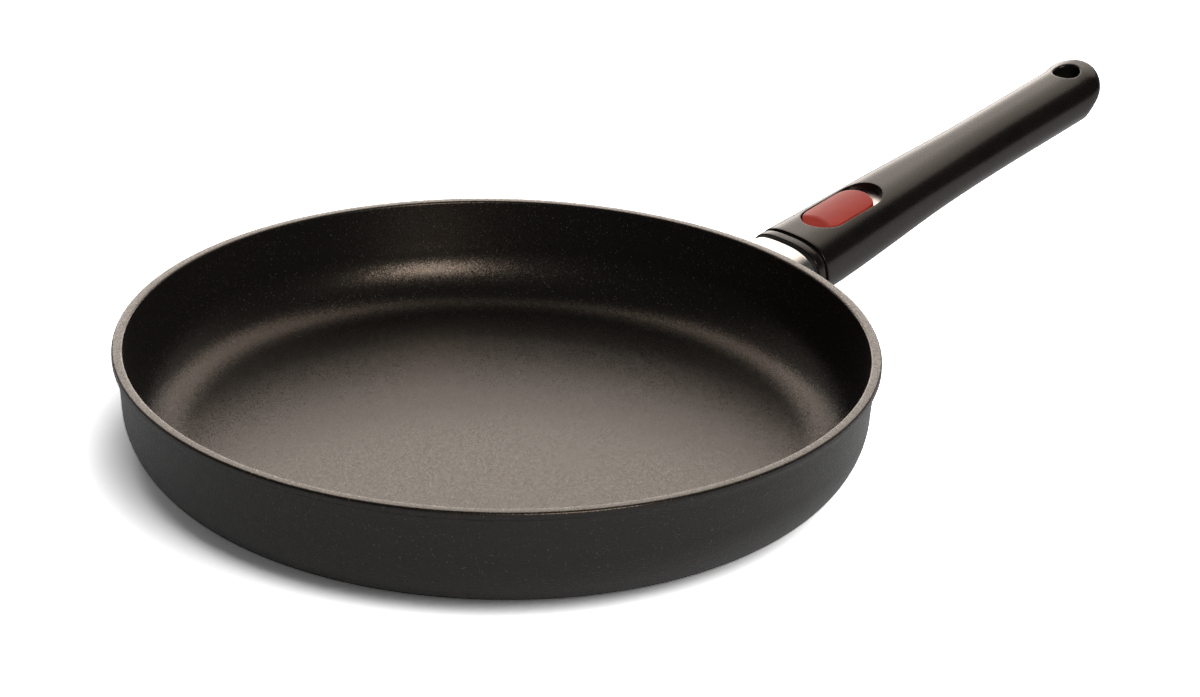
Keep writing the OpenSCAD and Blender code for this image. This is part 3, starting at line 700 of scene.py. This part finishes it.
def makeShell():
    count = int(round(skinLength / shell["skinStep"]))
    rows = np.linspace(0, skinLength, count + 1)
    first = outline["start"] + shell["edge"]
    body = np.linspace(first, shell["tipStart"], int((shell["tipStart"] - first) / shell["alongStep"]))
    reach = outline["length"] - outline["flat"] - shell["tipStart"]
    tip = shell["tipStart"] + reach * np.sin(np.linspace(0, math.pi / 2, shell["tipSteps"] + 1))[1:]
    columns = np.concatenate([body, tip])

    slotEnd = shell["slotStart"] + shell["slotLength"]
    slotLine, slotOut = stadium(shell["slotStart"], slotEnd, shell["slotWidth"] / 2, shell["slotPoints"])
    slotLoop, slotRings = edgeRings(slotLine, slotOut, shell["slotEdge"])
    slotTop = slotRings[-1]
    for k in range(1, shell["slotRows"] + 1):
        ring = slotTop.copy()
        ring[:, 2] += (shell["slotFloor"] - ring[:, 2]) * k / shell["slotRows"]
        slotRings.append(ring)

    a = np.linspace(0, 2 * math.pi, shell["holePoints"], endpoint=False)
    holeOut = np.stack([np.cos(a), np.sin(a)], 1)
    holeLine = holeOut * shell["holeWidth"] / 2 + (shell["holeAt"], 0)
    topLoop, topRings = edgeRings(holeLine, holeOut, shell["holeEdge"])
    lowLoop, lowRings = edgeRings(holeLine, holeOut, shell["holeEdge"], under=True)
    wall = [topRings[-1] + (lowRings[-1] - topRings[-1]) * k / shell["holeRows"]
            for k in range(1, shell["holeRows"])]

    def patchRange(low, high):
        inside = [k for k, x in enumerate(columns) if low <= x <= high]
        return inside[0], inside[-1]

    slotFrom, slotTo = patchRange(shell["slotStart"] - shell["slotClear"], slotEnd + shell["slotClear"])
    reachOut = shell["holeWidth"] / 2 + shell["holeEdge"] + shell["holeClear"]
    holeFrom, holeTo = patchRange(shell["holeAt"] - reachOut - shell["holeBefore"],
                                  shell["holeAt"] + reachOut + shell["holeAfter"])
    parts = [
        skinQuads(columns[:slotFrom + 1], rows),
        skinPatch(columns[slotFrom:slotTo + 1], rows, [slotLoop]),
        skinQuads(columns[slotTo:holeFrom + 1], rows),
        skinPatch(columns[holeFrom:holeTo + 1], rows, [topLoop, lowLoop]),
        skinQuads(columns[holeTo:], rows),
        loft(slotRings, capStart=False),
        loft(topRings + wall + lowRings[::-1], capStart=False, capEnd=False),
    ]
    # rounded front edge, the mouth that takes the cap's core, and the end
    turns = turnOf(rows[:-1])
    front = []
    for k in range(shell["edgeRows"] + 1):
        angle = math.radians(90 * k / shell["edgeRows"])
        inset = shell["edge"] * (1 - math.cos(angle))
        ring = sectionPoint(np.full(len(turns), first), turns, inset)
        ring[:, 0] = first - shell["edge"] * math.sin(angle)
        front.append(ring)
    for x in (outline["start"], shell["mouthEnd"]):
        ring = sectionPoint(np.full(len(turns), outline["start"]), turns, shell["mouthInset"])
        ring[:, 0] = x
        front.append(ring)
    parts.append(loft(front, capStart=False))
    endRing = sectionPoint(np.full(len(turns), columns[-1]), turns)
    parts.append((endRing, [tuple(range(len(turns)))]))
    points, faces = joinParts(parts)
    piece = addPiece("handleShell", fromHandle(points), faces, "handle", [phenolic],
                     sharpAngle=shell["sharpAngle"])
    cutAway(piece, boxPart(*shell["cavity"]))
    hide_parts("handle_shell")


makeShell()

# collar and ferrule

collar = {"start": 1.5, "end": 4.8, "inset": 0.3, "edge": 0.35, "edgeRows": 4, "bore": 2.6}      # mm


def makeCollar():
    rings = []
    for k in range(collar["edgeRows"] + 1):
        a = math.radians(90 * k / collar["edgeRows"])
        rings.append(frontRing(collar["start"] + collar["edge"] * (1 - math.cos(a)),
                               collar["inset"] + collar["edge"] * (1 - math.sin(a))))
    for k in range(collar["edgeRows"] + 1):
        a = math.radians(90 * k / collar["edgeRows"])
        rings.append(frontRing(collar["end"] - collar["edge"] * (1 - math.sin(a)),
                               collar["inset"] + collar["edge"] * (1 - math.cos(a))))
    rings.append(frontRing(collar["end"], collar["bore"]))
    rings.append(frontRing(collar["start"], collar["bore"]))
    points, faces = loft(rings, closed=True)
    piece = addPiece("collarRing", fromHandle(points), faces, "handle", [phenolic])
    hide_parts("collar_ring")


makeCollar()

ferrule = {      # mm
    "inset": 1.0, "edge": 0.5, "edgeRows": 5, "rows": 12,
    "sink": 0.3,             # how far the sleeve goes into the pan's wall
    "far": -22.0,            # x that is surely inside the pan
    "halvings": 40,          # steps that close in on the wall
}


def makeFerrule():
    front = []
    for k in range(ferrule["edgeRows"] + 1):
        a = math.radians(90 * k / ferrule["edgeRows"])
        front.append(frontRing(-ferrule["edge"] * (1 - math.sin(a)),
                               ferrule["inset"] + ferrule["edge"] * (1 - math.cos(a))))
    # each line along the sleeve ends just inside the pan's wall
    foot = front[0].copy()
    for i in range(frontPoints):
        near, far = 0.0, ferrule["far"]
        for _ in range(ferrule["halvings"]):
            middle = (near + far) / 2
            spot = fromHandle([(middle, foot[i, 1], foot[i, 2])])[0] / mm
            if math.hypot(spot[0], spot[1]) > panWallRadius(spot[2]) - ferrule["sink"]:
                near = middle
            else:
                far = middle
        foot[i, 0] = near
    along = [foot + (front[0] - foot) * k / ferrule["rows"] for k in range(ferrule["rows"])]
    points, faces = loft(along + front)
    piece = addPiece("ferruleSleeve", fromHandle(points), faces, "pan", [ferruleSteel])
    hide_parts("ferrule")


makeFerrule()

# slider

slider = {      # mm
    "start": 15.9, "width": 19.2, "end": 48.5, "endRadius": 12.4, "limit": 50.0,
    "low": 8.4, "foot": 0.4, "crown": 12.2, "crownRadius": 45.0, "slopeLength": 6.2, "slopeDrop": 2.4,
    "edge": 0.7, "edgeRows": 6, "blend": 0.35, "endPoints": 61, "loopPoints": 240,
    "grid": 0.42, "gridStart": 0.5, "gridClear": 0.25, "sharpAngle": 40,
}


def sliderOutline():
    r = slider["width"] / 2
    points = [(slider["start"] + r - r * math.sin(a), -r * math.cos(a))
              for a in np.linspace(0, math.pi, slider["endPoints"])]
    rear = []
    for y in r * np.sin(np.linspace(math.pi / 2, -math.pi / 2, slider["endPoints"])):
        flat = slider["end"] - slider["endRadius"] + math.sqrt(slider["endRadius"] ** 2 - y * y)
        tight = slider["limit"] - r + math.sqrt(max(0, r * r - y * y))
        rear.append((min(flat, tight), y))
    loop = np.array(points + rear)
    # even spacing round the outline
    closed = np.vstack([loop, loop[:1]])
    run = np.concatenate([[0], np.cumsum(np.linalg.norm(np.diff(closed, axis=0), axis=1))])
    even = np.linspace(0, run[-1], slider["loopPoints"], endpoint=False)
    loop = np.stack([np.interp(even, run, closed[:, 0]), np.interp(even, run, closed[:, 1])], 1)
    along = np.roll(loop, -1, axis=0) - np.roll(loop, 1, axis=0)
    out = np.stack([-along[:, 1], along[:, 0]], 1) / np.linalg.norm(along, axis=1)[:, None]
    middle = loop.mean(axis=0)
    if np.sum((loop - middle) * out) < 0:
        out = -out
    return loop, out


def sliderTop(x, y):
    crown = slider["crown"] - slider["crownRadius"] + np.sqrt(slider["crownRadius"] ** 2 - y * y)
    drop = slider["slopeDrop"]
    slope = slider["crown"] - drop + (x - slider["start"]) * drop / slider["slopeLength"]
    k = slider["blend"]      # softens the ridge where the slope meets the crown
    share = np.clip(0.5 + 0.5 * (slope - crown) / k, 0, 1)
    return slope * (1 - share) + crown * share - k * share * (1 - share)


def makeSlider():
    loop, out = sliderOutline()
    inner = loop - out * slider["edge"]
    heights = sliderTop(inner[:, 0], inner[:, 1])
    rings = []
    for z in (slider["low"], slider["low"] + slider["foot"]):
        rings.append(np.column_stack([loop, np.full(len(loop), z)]))
    for k in range(slider["edgeRows"] + 1):
        a = math.radians(90 * k / slider["edgeRows"])
        ring = loop - out * slider["edge"] * (1 - math.cos(a))
        rings.append(np.column_stack([ring, heights - slider["edge"] * (1 - math.sin(a))]))
    xs = np.arange(slider["start"] + slider["gridStart"], slider["end"], slider["grid"])
    ys = np.arange(-slider["width"] / 2, slider["width"] / 2, slider["grid"]) + slider["grid"] / 2
    grid = np.array([(x, y) for x in xs for y in ys])
    near = np.min(np.linalg.norm(grid[:, None] - inner[None], axis=2), axis=1) < slider["gridClear"]
    grid = grid[insideLoop(grid, inner) & ~near]
    edges = [(i, (i + 1) % len(inner)) for i in range(len(inner))]
    made = delaunay_2d_cdt([Vector(p) for p in np.concatenate([inner, grid])], edges, [], 1, flatGap)
    flat = np.array([tuple(v) for v in made[0]])
    top = np.column_stack([flat, sliderTop(flat[:, 0], flat[:, 1])])
    points, faces = joinParts([loft(rings, capEnd=False), (top, [tuple(f) for f in made[2]])])
    piece = addPiece("releaseSlider", fromHandle(points), faces, "release", [redPlastic],
                     sharpAngle=slider["sharpAngle"])
    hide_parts("release_button")


makeSlider()

# studio

studio = {
    "floorHalf": 4.0,         # m
    "floorColour": "f4f4f4",
    "floorGain": 3.5,         # for the camera's rays, so that the lit floor reads white
    "glossGain": 1.2,         # for what gloss and metal show of the floor
    "floorGlow": 0.05,
    "farGlow": 1.0,           # white backdrop past the lamps' reach
    "farFrom": 0.7,           # m from the pan's centre
    "farTo": 1.5,
    "floorGap": 0.00005,      # m under the pan, so that no two faces share a plane
    "ambient": 0.07,          # plain light from all round
    "frontGloss": 0.02,       # the dim side of the room, behind the camera
    "backGloss": 0.4,         # the white backdrop as gloss shows it
    "backTurn": 0.6,          # cosine of the turn from straight ahead at which the backdrop is full
}


def viewPoint(right, back, up):
    # a point given as seen by the camera: right, away and up from the pan's centre, in m
    level = Vector((-camera["place"][0], -camera["place"][1], 0)).normalized()
    side = Vector((level.y, -level.x, 0))
    return tuple(side * right + level * back + Vector((0, 0, up)))


def makeStage():
    half, down = studio["floorHalf"], -studio["floorGap"]
    mesh = bpy.data.meshes.new("studioFloor")
    mesh.from_pydata([(-half, -half, down), (half, -half, down), (half, half, down), (-half, half, down)],
                     [], [(0, 1, 2, 3)])
    floor = bpy.data.objects.new("studioFloor", mesh)
    bpy.context.scene.collection.objects.link(floor)
    material = bpy.data.materials.new("mattePaintedFloor")
    material.use_nodes = True
    tree = material.node_tree
    path = addNode(tree, "LightPath")
    colour = hexColour(studio["floorColour"])
    bright = tuple(c * studio["floorGain"] for c in colour[:3]) + (1,)
    shade = addNode(tree, "Mix", {"data_type": "RGBA", 6: colour, 7: bright}, {0: path["Is Camera Ray"]})
    mirrored = addNode(tree, "Math", {"operation": "MAXIMUM"},
                       {0: path["Is Glossy Ray"], 1: path["Is Transmission Ray"]})
    glossed = tuple(c * studio["glossGain"] for c in colour[:3]) + (1,)
    shade = addNode(tree, "Mix", {"data_type": "RGBA", 7: glossed}, {0: mirrored["Value"], 6: shade[2]})
    paint = addNode(tree, "BsdfDiffuse", None, {"Color": shade[2]})
    spot = addNode(tree, "NewGeometry")["Position"]
    reach = addNode(tree, "VectorMath", {"operation": "LENGTH"}, {0: spot})
    light = addNode(tree, "MapRange", {"From Min": studio["farFrom"], "From Max": studio["farTo"],
                                       "To Min": studio["floorGlow"], "To Max": studio["farGlow"]},
                    {"Value": reach["Value"]})
    seen = addNode(tree, "Math", {"operation": "MULTIPLY"},
                   {0: path["Is Camera Ray"], 1: light["Result"]})
    glow = addNode(tree, "Emission", None, {"Strength": seen["Value"]})
    both = addNode(tree, "AddShader", None, {0: paint["BSDF"], 1: glow["Emission"]})
    tree.links.new(both["Shader"], tree.nodes["Material Output"].inputs["Surface"])
    mesh.materials.append(material)


def makeWorld():
    world = bpy.data.worlds.new("studioWorld")
    bpy.context.scene.world = world
    world.use_nodes = True
    tree = world.node_tree
    path = addNode(tree, "LightPath")
    toward = addNode(tree, "TexCoord")["Generated"]
    away = addNode(tree, "VectorMath", {"operation": "DOT_PRODUCT", 1: viewPoint(0, 1, 0)}, {0: toward})
    # a white backdrop behind the object, and the dim room on the camera's side
    gloss = addNode(tree, "MapRange", {"From Min": 0.0, "From Max": studio["backTurn"],
                                       "To Min": studio["frontGloss"], "To Max": studio["backGloss"]},
                    {"Value": away["Value"]})
    mirrored = addNode(tree, "Math", {"operation": "MAXIMUM"},
                       {0: path["Is Glossy Ray"], 1: path["Is Transmission Ray"]})
    plain = addNode(tree, "Math", {"operation": "MAXIMUM", 1: studio["ambient"]},
                    {0: path["Is Camera Ray"]})
    strength = addNode(tree, "Mix", None, {0: mirrored["Value"], 2: plain["Value"], 3: gloss["Result"]})
    back = tree.nodes["Background"].inputs
    back["Color"].default_value = (1, 1, 1, 1)
    tree.links.new(strength[0], back["Strength"])


softboxes = {
    # place as seen by the camera: right, away and up from the pan's centre, which every lamp faces, in m;
    # size in m; light is the brightness of its face
    "lowBackSoftbox": {"place": (0, 1.18, 0.23), "size": (1.3, 0.34), "light": 2.3, "colour": "fff6ec"},
    "backSoftbox": {"place": (0, 1.17, 0.45), "size": (1.33, 0.8), "light": 2.2, "colour": "fff6ec"},
    "highBackSoftbox": {"place": (0.1, 0.79, 0.97), "size": (1.55, 0.7), "light": 2.05, "colour": "fff6ec"},
    "frontSoftbox": {"place": (0.66, -1.48, 1.0), "size": (0.7, 0.7), "light": 15.5, "colour": "ffffff"},
    "floorSoftbox": {"place": (0.68, -0.3, 1.35), "size": (2.45, 2.45), "light": 1.95, "colour": "ffffff"},
}


def addSoftbox(name, box, lit):
    light = bpy.data.lights.new(name, "AREA")
    light.shape = "RECTANGLE"
    width, height = box["size"]
    light.size, light.size_y = width, height
    light.energy = box["light"] * math.pi * width * height      # W that give the face this brightness
    light.color = hexColour(box["colour"])[:3]
    lamp = bpy.data.objects.new(name, light)
    bpy.context.scene.collection.objects.link(lamp)
    place = Vector(viewPoint(*box["place"]))
    lamp.location = place
    lamp.rotation_mode = "QUATERNION"
    lamp.rotation_quaternion = (-place).to_track_quat("-Z", "Y")
    lamp.visible_camera = False                       # so that it hides nothing from another side
    lamp.light_linking.receiver_collection = lit      # it lights only these


camera = {
    "place": (-0.8329, -0.93191, 0.6032),      # m
    "aim": (0.02772, -0.02676, 0.04362),       # the point in the middle of the picture
    "roll": 1.767,                             # degrees
    "lens": 108.7,                             # mm
    "sensor": 36,                              # mm wide
    "clip": (0.05, 50),                        # m
}


def makeCamera():
    data = bpy.data.cameras.new("photoCamera")
    data.sensor_width = camera["sensor"]
    data.lens = camera["lens"]
    data.clip_start, data.clip_end = camera["clip"]
    view = bpy.data.objects.new("photoCamera", data)
    bpy.context.scene.collection.objects.link(view)
    view.location = camera["place"]
    look = (Vector(camera["aim"]) - Vector(camera["place"])).to_track_quat("-Z", "Y")
    view.rotation_mode = "QUATERNION"
    view.rotation_quaternion = look @ Quaternion((0, 0, 1), math.radians(camera["roll"]))
    bpy.context.scene.camera = view


makeStage()
# the floor has a lamp of its own, and the others light only the pan and its handle
litPieces, litFloor = bpy.data.collections.new("litPieces"), bpy.data.collections.new("litFloor")
for item in bpy.context.scene.objects:
    if item.type == "MESH":
        (litFloor if item.name == "studioFloor" else litPieces).objects.link(item)
makeWorld()
for name, box in softboxes.items():
    addSoftbox(name, box, litFloor if name == "floorSoftbox" else litPieces)
makeCamera()
bpy.context.scene.view_settings.view_transform = "Standard"
print("studio made")
